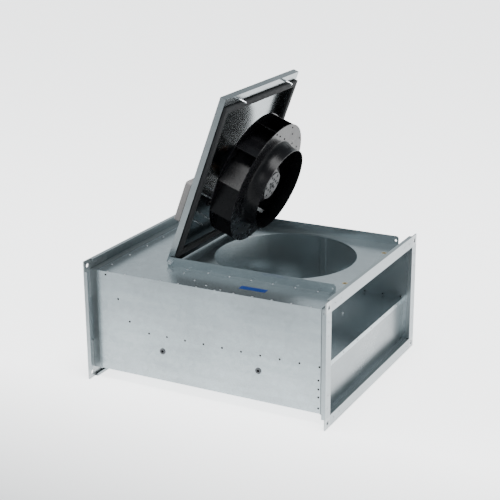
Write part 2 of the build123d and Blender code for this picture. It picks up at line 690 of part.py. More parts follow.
def pivot_nuts():
    """Nuts on the ends of the pivot bolts, just clear of the lid's wall."""
    start = RAIL_Y - LID_HALF_W + LID_SHEET + 0.4
    nut = hexagon(13.0, -start - 6.5, -start) - rod(PIVOT_R, 0, 0, -start - 8, -start + 1)
    out = []
    for side, kind in ((-1, "front"), (1, "back")):
        out.append(Pos(HINGE_X, HOLE_Y + side * RAIL_Y, PIVOT_Z) * facing(kind) * nut)
    return out


def blue_label():
    """Plain blue plate on the top panel, between the front edge and the front lid rail."""
    return block(81, 161, -256, -234, TOP, TOP + 0.4)


# ---------------------------------------------------------------- lid
def lid_tray():
    """Folded lid: outer skin, four walls and an inward rim fold."""
    u0, u1, w = -LID_BACK, LID_REACH, LID_HALF_W
    t = LID_SHEET
    shell = lid_block(u0, u1, -w, w, -LID_RIM, LID_OUT)
    shell = shell - lid_block(u0 + t, u1 - t, -w + t, w - t, -LID_RIM - 1, LID_OUT - t)
    rim = lid_block(u0 + 24, u1 - t, -w + t, w - t, -LID_RIM, -LID_RIM + t)
    rim = rim - lid_block(u0 + 24 + RIM_FOLD + 4, u1 - 44, -w + t + RIM_FOLD + 4, w - t - RIM_FOLD - 4,
                          -LID_RIM - 1, LID_OUT)
    shell = shell + rim
    low, high = -LID_RIM - 2, LID_OUT + 2
    holes = [lid_rod(SCREW_R + 0.2, SCREW_U, s * SCREW_Y, low, high) for s in (-1, 1)]
    holes += [lid_rod(3.0, u, y, 0, high) for u, y in motor_screw_places()]
    holes += [lid_rod(2.1, u, y, 0, high) for u, y in box_screw_places()]
    holes.append(lid_rod(8.0, *lead_place(), 0, high))
    edge = HOLE_Y + LID_HALF_W + 1
    holes.append(cross_rod(PIVOT_R + PIVOT_FIT, HINGE_X, PIVOT_Z, HOLE_Y - LID_HALF_W - 1, edge))
    return opened(drilled(shell, holes))


def lid_gasket():
    """Foam frame glued to the lid's rim."""
    outer_w = LID_HALF_W - 4.4
    u0, u1 = 18.0, LID_REACH - 24.7
    low = -PIVOT_RISE + GASKET_GAP
    ring = lid_block(u0, u1, -outer_w, outer_w, low, -LID_RIM)
    ring -= lid_block(u0 + GASKET_W, u1 - GASKET_W, -outer_w + GASKET_W, outer_w - GASKET_W,
                      low - 1, LID_OUT)
    return opened(ring)


def lid_screws():
    """Captive hexagon screws at the lid's free edge, with their washers."""
    top = LID_OUT + 1.6
    screw = hexagon(10.0, top, top + 4) + rod(SCREW_R, 0, 0, -LID_RIM - SCREW_BELOW + 1, top)
    upward = (Align.CENTER, Align.CENTER, Align.MIN)
    screw += Pos(0, 0, -LID_RIM - SCREW_BELOW) * Cone(SCREW_R - 1, SCREW_R, 1, align=upward)
    places = [(HINGE_X + SCREW_U, HOLE_Y + s * SCREW_Y) for s in (-1, 1)]
    washer = tube(7.5, SCREW_R, 0, 0, LID_OUT, top)
    return [opened(Pos(x, y, PIVOT_Z) * shape) for x, y in places for shape in (screw, washer)]


# ---------------------------------------------------------------- terminal box
def box_screw_places():
    """Screws (u, y) that hold the terminal box to the lid."""
    return [(u, y) for u in (BOX_U0 + 20, BOX_U1 - 20) for y in (BOX_Y0 + 20, BOX_Y1 - 20)]


def lead_place():
    """Where the motor's lead passes through the lid into the terminal box."""
    return ((BOX_U0 + BOX_U1) / 2, BOX_Y1 - 16)


def rounded_block(u0, u1, y0, y1, v0, v1, radius):
    """A lid block with rounded upright edges."""
    shape = lid_block(u0, u1, y0, y1, v0, v1)
    return fillet(shape.edges().filter_by(Axis.Z), radius)


def terminal_box_base():
    """Lower half of the terminal box, with the gland hole in its hinge-side wall."""
    v0, v1, t = LID_OUT, LID_OUT + BOX_SPLIT, BOX_WALL
    shell = rounded_block(BOX_U0, BOX_U1, BOX_Y0, BOX_Y1, v0, v1, 9)
    shell -= rounded_block(BOX_U0 + t, BOX_U1 - t, BOX_Y0 + t, BOX_Y1 - t, v0 + t, v1 + 1, 7)
    for u, y in cover_screw_places():
        shell += lid_rod(4.5, u, y, v0, v1)
    holes = [lid_rod(2.1, u, y, v0 - 1, v0 + t + 1) for u, y in box_screw_places()]
    holes.append(lid_rod(7.0, *lead_place(), v0 - 1, v0 + t + 1))
    holes += [lid_rod(1.8, u, y, v1 - 14, v1 + 1) for u, y in cover_screw_places()]
    gland_y, gland_v = gland_place()
    holes.append(long_rod(GLAND_R, HOLE_Y + gland_y, PIVOT_Z + gland_v,
                          HINGE_X + BOX_U0 - 2, HINGE_X + BOX_U0 + t + 2))
    return opened(drilled(shell, holes))


GLAND_R = 10.0


def gland_place():
    """The cable gland's centre: across the lid, and above the pivot level."""
    return ((BOX_Y0 + BOX_Y1) / 2, LID_OUT + 19)


def cover_screw_places():
    """Corner screws of the terminal box cover."""
    return [(u, y) for u in (BOX_U0 + 8, BOX_U1 - 8) for y in (BOX_Y0 + 8, BOX_Y1 - 8)]


def terminal_box_seal():
    """Thin seal between the two halves of the terminal box."""
    v0, v1, t = LID_OUT + BOX_SPLIT, LID_OUT + BOX_SPLIT + 1.2, BOX_WALL
    ring = rounded_block(BOX_U0 + 0.5, BOX_U1 - 0.5, BOX_Y0 + 0.5, BOX_Y1 - 0.5, v0, v1, 8.5)
    ring -= rounded_block(BOX_U0 + t, BOX_U1 - t, BOX_Y0 + t, BOX_Y1 - t, v0 - 1, v1 + 1, 7)
    return opened(drilled(ring, [lid_rod(4.6, u, y, v0 - 1, v1 + 1) for u, y in cover_screw_places()]))


def terminal_box_cover():
    """Upper half of the terminal box."""
    v0, v1, t = LID_OUT + BOX_SPLIT + 1.2, LID_OUT + BOX_H, BOX_WALL
    shell = rounded_block(BOX_U0, BOX_U1, BOX_Y0, BOX_Y1, v0, v1, 9)
    shell = fillet(shell.faces().sort_by(Axis.Z)[-1].edges(), 2.5)
    shell -= rounded_block(BOX_U0 + t, BOX_U1 - t, BOX_Y0 + t, BOX_Y1 - t, v0 - 1, v1 - t, 7)
    for u, y in cover_screw_places():
        shell += lid_rod(4.5, u, y, v0, v1 - t)
    holes = [lid_rod(1.8, u, y, v0 - 1, v1 + 1) for u, y in cover_screw_places()]
    holes += [lid_rod(3.6, u, y, v1 - 3, v1 + 1) for u, y in cover_screw_places()]
    return opened(drilled(shell, holes))


def cover_screws():
    """Four cheese head screws of the terminal box cover."""
    v1 = LID_OUT + BOX_H
    shape = [(0, 0.0), (3.4, 0.0), (3.4, -3), (1.8, -3), (1.8, -30), (0, -30)]
    screw = turned(shape, 0, 0) - block(-4, 4, -0.5, 0.5, -1.0, 1)
    return [opened(Pos(HINGE_X + u, HOLE_Y + y, PIVOT_Z + v1) * screw) for u, y in cover_screw_places()]


def box_fixing_screws():
    """Screws from the terminal box down through the lid, with their ends standing inside it."""
    v1 = LID_OUT + BOX_WALL
    out = []
    for u, y in box_screw_places():
        screw = rod(4.0, 0, 0, v1, v1 + 2.6) + rod(2.1, 0, 0, -14.0, v1)
        out.append(opened(Pos(HINGE_X + u, HOLE_Y + y, PIVOT_Z) * screw))
    return out


def terminal_strip():
    """Six-way terminal strip in the box."""
    u0, u1 = BOX_U0 + 36, BOX_U1 - 34
    y = (BOX_Y0 + BOX_Y1) / 2 - 8
    v0 = LID_OUT + BOX_WALL
    strip = lid_block(u0, u1, y - 9, y + 9, v0, v0 + 16)
    pitch = (u1 - u0) / 6
    cuts = [lid_rod(2.4, u0 + pitch * (i + 0.5), y + d, v0 + 8, v0 + 17) for i in range(6) for d in (-5, 5)]
    cuts += [lid_block(u0 + pitch * i - 0.6, u0 + pitch * i + 0.6, y - 10, y + 10, v0 + 11, v0 + 17)
             for i in range(1, 6)]
    return opened(drilled(strip, cuts))


def cable_gland():
    """Cable gland body: thread through the box wall, hexagon collar and dome nut."""
    body = rod(GLAND_R, 0, 0, -BOX_WALL - 8, 0) + hexagon(27, 0, 5) + rod(11.5, 0, 0, 5, 12)
    body += Pos(0, 0, 12) * Cone(11.5, 8.5, 9, align=(Align.CENTER, Align.CENTER, Align.MIN))
    body -= rod(5.0, 0, 0, -20, 30)
    return placed_gland(body)


def gland_nut():
    """Nut inside the box that clamps the gland."""
    nut = hexagon(26, -BOX_WALL - 5, -BOX_WALL) - rod(GLAND_R, 0, 0, -20, 5)
    return placed_gland(nut)


def placed_gland(shape):
    """Puts a gland part on the hinge-side wall of the terminal box."""
    y, v = gland_place()
    return opened(Pos(HINGE_X + BOX_U0, HOLE_Y + y, PIVOT_Z + v) * facing("inlet") * shape)


def lead_grommet():
    """Rubber grommet where the motor's lead passes through the lid."""
    u, y = lead_place()
    t = LID_SHEET
    shape = [(5.0, LID_OUT), (8.0, LID_OUT), (8.0, LID_OUT - t), (10.5, LID_OUT - t),
             (9.5, LID_OUT - t - 3), (5.0, LID_OUT - t - 3)]
    ring = turned([(r, PIVOT_Z + v) for r, v in shape], HINGE_X + u, HOLE_Y + y)
    return opened(ring)


# ---------------------------------------------------------------- motor
def motor_screw_places():
    """Screws (u, y) of the motor flange."""
    return [(SHAFT_U + 42 * cos(radians(a)), 42 * sin(radians(a))) for a in range(45, 405, 90)]


def motor_flange():
    """Fixed motor flange under the lid skin, with the bearing tube down the middle."""
    top = LID_OUT - LID_SHEET
    b, step = BEARING_R, BEARING_R - 3.5
    shape = [(b, top), (54, top), (56, top - 2), (56, top - 9), (50, top - 12), (24, top - 14),
             (22, -24), (22, -30), (18, -32), (18, -112), (b, -112), (b, -102), (step, -101),
             (step, -37), (b, -36)]
    flange = on_shaft(shape)
    holes = [lid_rod(2.5, u, y, top - 8, top + 1) for u, y in motor_screw_places()]
    return opened(drilled(flange, holes))


def motor_screws():
    """Hexagon screws through the lid skin into the motor flange, with flat washers."""
    top = LID_OUT
    screw = hexagon(8.0, top + 1.2, top + 4.7) + rod(2.5, 0, 0, top - LID_SHEET - 8, top + 1.2)
    screw += tube(6.0, 2.5, 0, 0, top, top + 1.2)
    return [opened(Pos(HINGE_X + u, HOLE_Y + y, PIVOT_Z) * screw) for u, y in motor_screw_places()]


def stator_pack():
    """Laminated stator core on the bearing tube, with 24 slots."""
    core = on_shaft([(18, -50), (52, -50), (52, -96), (18, -96)])
    slots = []
    for i in range(24):
        slot = block(36, 53, -1.6, 1.6, PIVOT_Z - 97, PIVOT_Z - 49)
        slots.append(Pos(HOLE_X, HOLE_Y, 0) * Rot(0, 0, 15 * i) * slot)
    return opened(drilled(core, slots))


def stator_windings():
    """The two copper end windings."""
    rings = []
    for level, way in ((-50.0, 1), (-96.0, -1)):
        outline = [(30, level), (48, level), (46, level + way * 12), (38, level + way * 15),
                   (32, level + way * 12)]
        rings.append(opened(on_shaft(outline)))
    return rings


def bearing(level):
    """Ball bearing in the bearing tube, as one ring."""
    outline = [(SHAFT_R + SHAFT_FIT, level), (BEARING_R, level), (BEARING_R, level - 10),
               (SHAFT_R + SHAFT_FIT, level - 10)]
    return opened(on_shaft(outline))


# ---------------------------------------------------------------- rotor and impeller
def rotor_shaft():
    """Shaft fixed in the rotor's end."""
    return opened(on_shaft([(0, -16), (5, -16), (SHAFT_R, -17), (SHAFT_R, CAN_FACE + 6), (0, CAN_FACE + 6)]))


def rotor_can():
    """External rotor: a cup round the stator, with a flange for the impeller."""
    r, w = CAN_R, CAN_WALL
    level = ROTOR_BACK
    outline = [(0, CAN_FACE), (44, CAN_FACE), (r - 2, CAN_FACE + 9), (r, CAN_FACE + 14),
               (r, level - WHEEL_T - 0.0), (r, level), (r + 13, level), (r + 13, level + 4), (r, level + 4),
               (r, CAN_MOUTH), (r - w, CAN_MOUTH), (r - w, CAN_FACE + 14), (r - w - 6, CAN_FACE + 6),
               (0, CAN_FACE + 6)]
    can = on_shaft(outline)
    holes = [lid_rod(2.5, u, y, level - 1, level + 5) for u, y in hub_screw_places()]
    return opened(drilled(can, holes))


def rotor_cap():
    """Cast balancing disc on the rotor's end, with a ring of windows round its hub."""
    low = CAN_FACE - 3.0
    disc = on_shaft([(6, CAN_FACE), (43, CAN_FACE), (43, low + 1), (42, low), (12, low), (10, low - 2),
                     (6, low - 2)])
    ring = [(SHAFT_U + r * cos(radians(a)), r * sin(radians(a)))
            for r, first in ((20, 0), (34, 30)) for a in range(first, 360, 60)]
    return opened(drilled(disc, [lid_rod(4.4, u, y, low - 3, CAN_FACE + 1) for u, y in ring]))


def wheel_label():
    """Plain white label on the inner face of one blade."""
    low = RING_LEVEL + 2 * WHEEL_T + 0.6
    label = block(BLADE_LINE - 0.35, BLADE_LINE, -17.5, -5.0, low, low + 26)
    return opened(blade_frame(3) * label)


def hub_screw_places():
    """Screws (u, y) that hold the impeller to the rotor's flange."""
    r = CAN_R + 7.5
    return [(SHAFT_U + r * cos(radians(a)), r * sin(radians(a))) for a in range(0, 360, 60)]


def hub_screws():
    """Screws that hold the impeller back plate to the rotor."""
    low = ROTOR_BACK - WHEEL_T
    screw = rod(4.2, 0, 0, low - 3, low) + rod(2.5, 0, 0, low, ROTOR_BACK + 4)
    return [opened(Pos(HINGE_X + u, HOLE_Y + y, PIVOT_Z) * screw) for u, y in hub_screw_places()]


def blade_frame(index):
    """Place of a blade: its nearest point to the shaft lies on +X and the blade runs along Y."""
    trailing = degrees(atan2(-BLADE_OUT, BLADE_LINE))
    turn = BLADE_PHASE + 360.0 / BLADES * index - trailing
    return Pos(HOLE_X, HOLE_Y, PIVOT_Z) * Rot(0, 0, turn)


def blade_rivet_steps():
    """Rivets along a blade, from its nearest point to the shaft."""
    return [-BLADE_OUT + 8, -BLADE_OUT + 38, -BLADE_OUT + 83]


def impeller_blade(index):
    """One straight backward-leaning blade with a fixing tab along each edge."""
    low = RING_LEVEL + WHEEL_T
    high = ROTOR_BACK - WHEEL_T
    x0, x1 = BLADE_LINE, BLADE_LINE + WHEEL_T
    shape = block(x0, x1, -BLADE_OUT, BLADE_IN, low, high)
    y_in = BLADE_IN - 10
    y_out = -BLADE_OUT + 3.5
    shape += block(x0 - TAB, x0, y_out, y_in, low, low + WHEEL_T)
    shape += block(x0 - TAB, x0, y_out, y_in, high - WHEEL_T, high)
    holes = []
    for y in blade_rivet_steps():
        holes.append(rod(RIVET_R, x0 - TAB / 2, y, low - 1, low + 2))
        holes.append(rod(RIVET_R, x0 - TAB / 2, y, high - 2, high + 1))
    return opened(blade_frame(index) * drilled(shape, holes))


def wheel_rivet_tools(low, high):
    """Cutters for all the blade rivets between two levels."""
    return [blade_frame(i) * rod(RIVET_R, BLADE_LINE - TAB / 2, y, low, high)
            for i in range(BLADES) for y in blade_rivet_steps()]


def impeller_back_plate():
    """Round back plate of the impeller."""
    plate = on_shaft([(CAN_R, ROTOR_BACK), (PLATE_R, ROTOR_BACK), (PLATE_R, ROTOR_BACK - WHEEL_T),
                      (CAN_R, ROTOR_BACK - WHEEL_T)])
    tools = wheel_rivet_tools(ROTOR_BACK - 2, ROTOR_BACK + 1)
    tools += [lid_rod(2.5, u, y, ROTOR_BACK - 2, ROTOR_BACK + 1) for u, y in hub_screw_places()]
    return opened(drilled(plate, tools))


def impeller_shroud():
    """Front ring of the impeller: a flat that carries the rivets, then a throat up to the eye."""
    t, steps = WHEEL_T, 8
    flat_r = 138.0
    bend = flat_r - EYE_R
    rise = 30.0
    inner = [(EYE_R + bend * (1 - sin(radians(90 * i / steps))),
              RING_LEVEL + t - rise * (1 - cos(radians(90 * i / steps)))) for i in range(steps + 1)]
    outer = [(r + t * min(1.0, i / 3), v - t * (1 - i / steps)) for i, (r, v) in enumerate(inner)]
    outline = [(WHEEL_R, RING_LEVEL + t)] + inner + [(EYE_R, EYE_LEVEL), (EYE_R + t, EYE_LEVEL)]
    outline += list(reversed(outer[1:])) + [(flat_r, RING_LEVEL), (WHEEL_R, RING_LEVEL)]
    ring = on_shaft(outline)
    return opened(drilled(ring, wheel_rivet_tools(RING_LEVEL - 4, RING_LEVEL + t + 1)))


def blade_rivets():
    """Rivets from both plates of the impeller into the blades' tabs."""
    grip = 2 * WHEEL_T
    out = []
    for i in range(BLADES):
        for y in blade_rivet_steps():
            front = Pos(BLADE_LINE - TAB / 2, y, RING_LEVEL) * facing("down") * rivet(grip)
            back = Pos(BLADE_LINE - TAB / 2, y, ROTOR_BACK) * rivet(grip)
            out += [opened(blade_frame(i) * front), opened(blade_frame(i) * back)]
    return out


# ---------------------------------------------------------------- all nodes
def main():
    os.makedirs("parts", exist_ok=True)
    for side, word in ((-1, "front"), (1, "back")):
        save(f"side_panel_{word}", side_panel(side))
        save(f"lid_rail_{word}", lid_rail(side))
    save("side_rivets", side_rivets(-1) + side_rivets(1))
    save("pivot_bolts", [pivot_bolt(-1), pivot_bolt(1)])
    save("top_panel", top_panel())
    save("bottom_panel", bottom_panel())
    save("inlet_slope_plate", inlet_slope_plate())
    save("shelf_plate", shelf_plate())
    save("blanking_plate", blanking_plate())
    save("scroll_wall", scroll_wall())
    save("inlet_cone", inlet_cone())
    for end, name in ((-1, "inlet"), (1, "outlet")):
        for where in ("top", "bottom", "front", "back"):
            save(f"{name}_rail_{where}", flange_rail(where, end))
        corners = [corner_piece(end, side, level) for side in (-1, 1) for level in (-1, 1)]
        save(f"{name}_corner_pieces", corners)
    save("flange_rivets", flange_rivets(-1) + flange_rivets(1))
    save("seam_rivets", seam_rivets())
    save("scroll_rivets", scroll_rivets())
    save("plate_rivets", plate_rivets())
    save("inlet_cone_screws", cone_screws())
    save("suspension_inserts", suspension_inserts())
    save("lid_screw_nuts", lid_screw_nuts())
    save("lid_rail_rivets", lid_rail_rivets())
    save("pivot_spacers", pivot_spacers())
    save("pivot_nuts", pivot_nuts())
    save("blue_label", blue_label())
    save("lid_tray", lid_tray())
    save("lid_gasket", lid_gasket())
    save("lid_screws", lid_screws())
    save("terminal_box_base", terminal_box_base())
    save("terminal_box_seal", terminal_box_seal())
    save("terminal_box_cover", terminal_box_cover())
    save("terminal_cover_screws", cover_screws())
    save("box_fixing_screws", box_fixing_screws())
    save("terminal_strip", terminal_strip())
    save("cable_gland", cable_gland())
    save("gland_nut", gland_nut())
    save("lead_grommet", lead_grommet())
    save("motor_flange", motor_flange())
    save("motor_screws", motor_screws())
    save("stator_pack", stator_pack())
    save("stator_windings", stator_windings())
    save("bearings", [bearing(-26.0), bearing(-102.0)])
    save("rotor_shaft", rotor_shaft())
    save("rotor_can", rotor_can())
    save("rotor_cap", rotor_cap())
    save("wheel_label", wheel_label())
    save("hub_screws", hub_screws())
    save("impeller_back_plate", impeller_back_plate())
    save("impeller_shroud", impeller_shroud())
    save("impeller_blades", [impeller_blade(i) for i in range(BLADES)])
    save("blade_rivets", blade_rivets())


main()
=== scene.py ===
import json
from math import cos, pi, radians, sin

import bpy
import numpy as np
from mathutils import Matrix, Vector


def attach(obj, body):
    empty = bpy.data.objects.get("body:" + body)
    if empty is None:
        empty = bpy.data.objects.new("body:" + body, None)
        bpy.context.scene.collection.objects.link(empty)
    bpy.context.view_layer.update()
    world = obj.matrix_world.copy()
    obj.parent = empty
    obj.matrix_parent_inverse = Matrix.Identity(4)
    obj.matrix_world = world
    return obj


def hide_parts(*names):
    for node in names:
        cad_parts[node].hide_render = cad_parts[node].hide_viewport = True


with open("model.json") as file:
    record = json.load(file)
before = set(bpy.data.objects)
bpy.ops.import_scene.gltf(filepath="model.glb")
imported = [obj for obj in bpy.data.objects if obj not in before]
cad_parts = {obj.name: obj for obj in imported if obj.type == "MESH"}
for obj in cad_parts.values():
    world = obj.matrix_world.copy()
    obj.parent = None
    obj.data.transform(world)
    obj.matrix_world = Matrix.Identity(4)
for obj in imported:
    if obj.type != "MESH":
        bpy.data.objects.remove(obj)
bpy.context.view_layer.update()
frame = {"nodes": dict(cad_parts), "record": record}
nodes = frame["nodes"]
scene = bpy.context.scene

# The lid hinge in metres, and how far the lid stands open at rest.
HINGE = Vector((-0.181, 0.0575, 0.3465))
OPEN = radians(69.7)

# The camera: its place in metres, the way it looks in degrees and its lens in millimetres.
CAMERA_PLACE = (1.62399, -3.14996, 1.53631)
AZIMUTH, ELEVATION, ROLL = -27.50, 18.43, -0.39
LENS, SENSOR = 91.71, 36.0

# The foam frame under the lid, in lid coordinates: its middle, the half sides of its centre line,
# half the strip's width, and the strip's lower and upper faces.
FOAM_MIDDLE = 0.2575
FOAM_HALF_LONG = 0.2300
FOAM_HALF_WIDE = 0.2165
STRIP_HALF = 0.0094
STRIP_LOW, STRIP_HIGH = -0.0132, -0.0042


# ---------------------------------------------------------------- places
def lid_point(u, y, v):
    """Rest-pose points from lid coordinates: u along the lid, y across it, v out of its skin."""
    u, y, v = np.broadcast_arrays(*(np.asarray(a, float) for a in (u, y, v)))
    x = HINGE.x + u * cos(OPEN) - v * sin(OPEN)
    z = HINGE.z + u * sin(OPEN) + v * cos(OPEN)
    return np.stack([x, HINGE.y + y, z], axis=-1)


# ---------------------------------------------------------------- node graphs
class Graph:
    """Builds one procedural material: each method adds a node and returns its output socket."""

    def __init__(self, name, color, roughness=0.5, metallic=0.0):
        self.material = bpy.data.materials.new(name)
        self.material.use_nodes = True
        self.tree = self.material.node_tree
        self.shader = self.tree.nodes["Principled BSDF"]
        self.shader.inputs["Base Color"].default_value = (*color, 1.0)
        self.shader.inputs["Roughness"].default_value = roughness
        self.shader.inputs["Metallic"].default_value = metallic
        self.place = self.new("ShaderNodeTexCoord").outputs["Object"]

    def new(self, kind, **settings):
        node = self.tree.nodes.new(kind)
        for key, value in settings.items():
            setattr(node, key, value)
        return node

    def feed(self, socket, value):
        if isinstance(value, bpy.types.NodeSocket):
            self.tree.links.new(value, socket)
        else:
            socket.default_value = value

    def stretch(self, scale):
        node = self.new("ShaderNodeMapping")
        node.inputs["Scale"].default_value = scale
        self.feed(node.inputs["Vector"], self.place)
        return node.outputs["Vector"]

    def noise(self, scale, detail=3.0, vector=None, rough=0.5):
        node = self.new("ShaderNodeTexNoise")
        node.inputs["Scale"].default_value = scale
        node.inputs["Detail"].default_value = detail
        node.inputs["Roughness"].default_value = rough
        self.feed(node.inputs["Vector"], vector or self.place)
        return node.outputs["Fac"]

    def cells(self, scale, output="Color"):
        node = self.new("ShaderNodeTexVoronoi")
        node.inputs["Scale"].default_value = scale
        self.feed(node.inputs["Vector"], self.place)
        return node.outputs[output]

    def ramp(self, value, low, high, to_low, to_high):
        node = self.new("ShaderNodeMapRange")
        for key, item in zip(("Value", "From Min", "From Max", "To Min", "To Max"),
                             (value, low, high, to_low, to_high)):
            self.feed(node.inputs[key], item)
        return node.outputs["Result"]

    def math(self, operation, a, b=0.0):
        node = self.new("ShaderNodeMath", operation=operation)
        self.feed(node.inputs[0], a)
        self.feed(node.inputs[1], b)
        return node.outputs[0]

    def mix(self, factor, a, b):
        node = self.new("ShaderNodeMix", data_type="RGBA")
        self.feed(node.inputs["Factor"], factor)
        for key, item in (("A", a), ("B", b)):
            socket = [s for s in node.inputs if s.name == key and s.type == "RGBA"][0]
            self.feed(socket, item if isinstance(item, bpy.types.NodeSocket) else (*item, 1.0))
        return [s for s in node.outputs if s.type == "RGBA"][0]

    def grey(self, color):
        node = self.new("ShaderNodeRGBToBW")
        self.feed(node.inputs[0], color)
        return node.outputs[0]

    def bump(self, height, distance, strength=1.0, after=None):
        node = self.new("ShaderNodeBump")
        node.inputs["Strength"].default_value = strength
        node.inputs["Distance"].default_value = distance
        self.feed(node.inputs["Height"], height)
        if after is not None:
            self.feed(node.inputs["Normal"], after)
        return node.outputs["Normal"]

    def set(self, **inputs):
        for key, value in inputs.items():
            self.feed(self.shader.inputs[key.replace("_", " ")], value)
        return self.material


def galvanised(name, tone, shine, drift=1.0, metal=0.82):
    """Hot-dip zinc sheet: faint crystals of two sizes under soft clouds and rolling streaks.

    The tone is the mean colour, the shine its roughness, and the drift scales how far the colour
    wanders to either side of the tone.
    """
    g = Graph(name, tone, shine, metal)
    crystals = g.grey(g.cells(70.0))
    fine = g.grey(g.cells(210.0))
    clouds = g.noise(5.0, 4.0)
    streaks = g.noise(4.0, 3.0, g.stretch((1.0, 1.0, 9.0)))
    tint = g.math("MULTIPLY", crystals, 0.10)
    for pattern, weight in ((fine, 0.08), (clouds, 0.50), (streaks, 0.32)):
        tint = g.math("ADD", tint, g.math("MULTIPLY", pattern, weight))
    dark = tuple(c * (1 - 0.10 * drift) for c in tone)
    light = tuple(min(1.0, c * (1 + 0.08 * drift)) for c in tone)
    low, high = 0.35, 0.65
    color = g.mix(g.ramp(tint, low, high, 0.0, 1.0), dark, light)
    rough = g.ramp(tint, low, high, shine + 0.02, shine - 0.01)
    return g.set(Base_Color=color, Roughness=rough, Normal=g.bump(clouds, 0.0002, 0.04))


def plated(name, tone, shine):
    """Bright zinc plated or bare turned metal with faint wear."""
    g = Graph(name, tone, shine, 1.0)
    wear = g.noise(420.0, 4.0)
    rough = g.ramp(wear, 0.3, 0.7, shine - 0.04, shine + 0.12)
    color = g.mix(g.ramp(wear, 0.35, 0.7, 0.0, 1.0), tuple(c * 0.86 for c in tone), tone)
    return g.set(Base_Color=color, Roughness=rough)


def coated(name, tone, shine, grain=0.00003, size=900.0, sheen=0.5):
    """Powder coat or moulded plastic: even colour, very fine orange peel and a little dust."""
    g = Graph(name, tone, shine, 0.0)
    peel = g.noise(size, 2.0)
    dust = g.noise(14.0, 6.0, rough=0.65)
    light = tuple(min(1.0, c * 1.12 + 0.004) for c in tone)
    color = g.mix(g.ramp(dust, 0.42, 0.75, 0.0, 1.0), tone, light)
    rough = g.ramp(dust, 0.3, 0.7, shine - 0.03, shine + 0.07)
    normal = g.bump(peel, grain, 0.6)
    return g.set(Base_Color=color, Roughness=rough, Normal=normal, Specular_IOR_Level=sheen)


def foam_material():
    """Closed-cell foam: matte, with open pores on the cut skin, drawn darker than the skin as
    painted shade in them.
    """
    g = Graph("closed cell foam", (0.018, 0.019, 0.021), 0.95)
    pores = g.cells(900.0, output="Distance")
    soft = g.noise(120.0, 4.0)
    # The pores are darker than the skin: painted shade in the open cells.
    shaded_pore, skin = (0.003, 0.003, 0.0035), (0.012, 0.013, 0.014)
    color = g.mix(g.ramp(pores, 0.05, 0.5, 0.0, 1.0), shaded_pore, skin)
    normal = g.bump(pores, 0.0004, 0.7)
    return g.set(Base_Color=color, Normal=g.bump(soft, 0.0006, 0.4, normal))


def copper_material():
    """Varnished copper winding with the lie of its wires."""
    g = Graph("copper winding", (0.62, 0.26, 0.12), 0.32, 0.9)
    wires = g.new("ShaderNodeTexWave", wave_type="BANDS", bands_direction="DIAGONAL")
    wires.inputs["Scale"].default_value = 260.0
    wires.inputs["Distortion"].default_value = 1.5
    g.feed(wires.inputs["Vector"], g.place)
    return g.set(Normal=g.bump(wires.outputs["Fac"], 0.0004, 0.8))


materials = {
    "galvanised_sheet": galvanised("galvanised sheet", (0.300, 0.345, 0.362), 0.25, 1.6),
    "lid_sheet": galvanised("lid sheet", (0.23, 0.256, 0.265), 0.20, metal=1.0),
    "flange_steel": galvanised("flange strip", (0.25, 0.283, 0.295), 0.30, 0.8),
    "corner_steel": galvanised("corner plate", (0.32, 0.345, 0.352), 0.30, 0.9),
    "zinc_fixings": plated("zinc plated fixings", (0.74, 0.76, 0.78), 0.22),
    "yellow_zinc": plated("yellow passivated zinc", (0.60, 0.47, 0.24), 0.30),
    "rivet_metal": plated("rivet aluminium", (0.42, 0.44, 0.46), 0.34),
    "dark_rivets": plated("oxidised rivets", (0.030, 0.027, 0.024), 0.55),
    "insert_steel": plated("dull threaded inserts", (0.09, 0.095, 0.10), 0.45),
    # The wheel's rivets are black like its coat, and are drawn darker still as painted shade in
    # their recesses.
    "wheel_rivets": coated("shaded black rivets", (0.001, 0.001, 0.001), 0.60, sheen=0.04),
    "black_wheel": coated("black powder coat", (0.0035, 0.0035, 0.0042), 0.25, sheen=0.13),
    "foam": foam_material(),
    "pale_plastic": coated("pale grey plastic", (0.20, 0.188, 0.184), 0.48, 0.00004, 700.0),
    "dark_plastic": coated("dark plastic", (0.03, 0.03, 0.032), 0.45),
    # Cast aluminium given a near-black tone: painted shade for the hub deep in the wheel's eye.
    "motor_aluminium": plated("shaded cast aluminium", (0.055, 0.058, 0.060), 0.45),
    "motor_paint": coated("motor paint", (0.006, 0.006, 0.007), 0.30),
    "lamination": plated("core laminations", (0.20, 0.20, 0.21), 0.50),
    "copper": copper_material(),
    "bearing_steel": plated("bearing steel", (0.72, 0.73, 0.74), 0.16),
    "label_blue": coated("blue label film", (0.004, 0.022, 0.13), 0.40, sheen=0.25),
    "label_white": coated("white label film", (0.85, 0.85, 0.84), 0.40),
    "rubber_black": coated("black rubber", (0.02, 0.02, 0.021), 0.7),
    # A darker copy of the galvanised sheet: painted shade, given to the blanking plate behind the
    # outlet opening.
    "inner_sheet": galvanised("shaded galvanised sheet", (0.19, 0.215, 0.225), 0.28, 1.2),
}
slots = {row["node"]: row["material_slot"] for row in frame["record"]["subparts"]}
# The blanking plate takes the darker copy of the sheet, painted shade behind the outlet opening.
slots["blanking_plate"] = "inner_sheet"
for name, node in nodes.items():
    node.data.materials.clear()
    node.data.materials.append(materials[slots[name]])


# ---------------------------------------------------------------- made surfaces
def grid_mesh(name, points, material, body):
    """A closed surface from a grid of points that wraps round in both directions."""
    rows, columns = points.shape[:2]
    index = np.arange(rows * columns).reshape(rows, columns)
    across, along = np.roll(index, -1, axis=1), np.roll(index, -1, axis=0)
    faces = np.stack([index, across, np.roll(across, -1, axis=0), along], axis=-1).reshape(-1, 4)
    mesh = bpy.data.meshes.new(name)
    mesh.from_pydata(points.reshape(-1, 3).tolist(), [], faces.tolist())
    mesh.polygons.foreach_set("use_smooth", np.ones(len(faces), dtype=bool))
    mesh.materials.append(materials[material])
    piece = bpy.data.objects.new(name, mesh)
    scene.collection.objects.link(piece)
    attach(piece, body)
    return piece


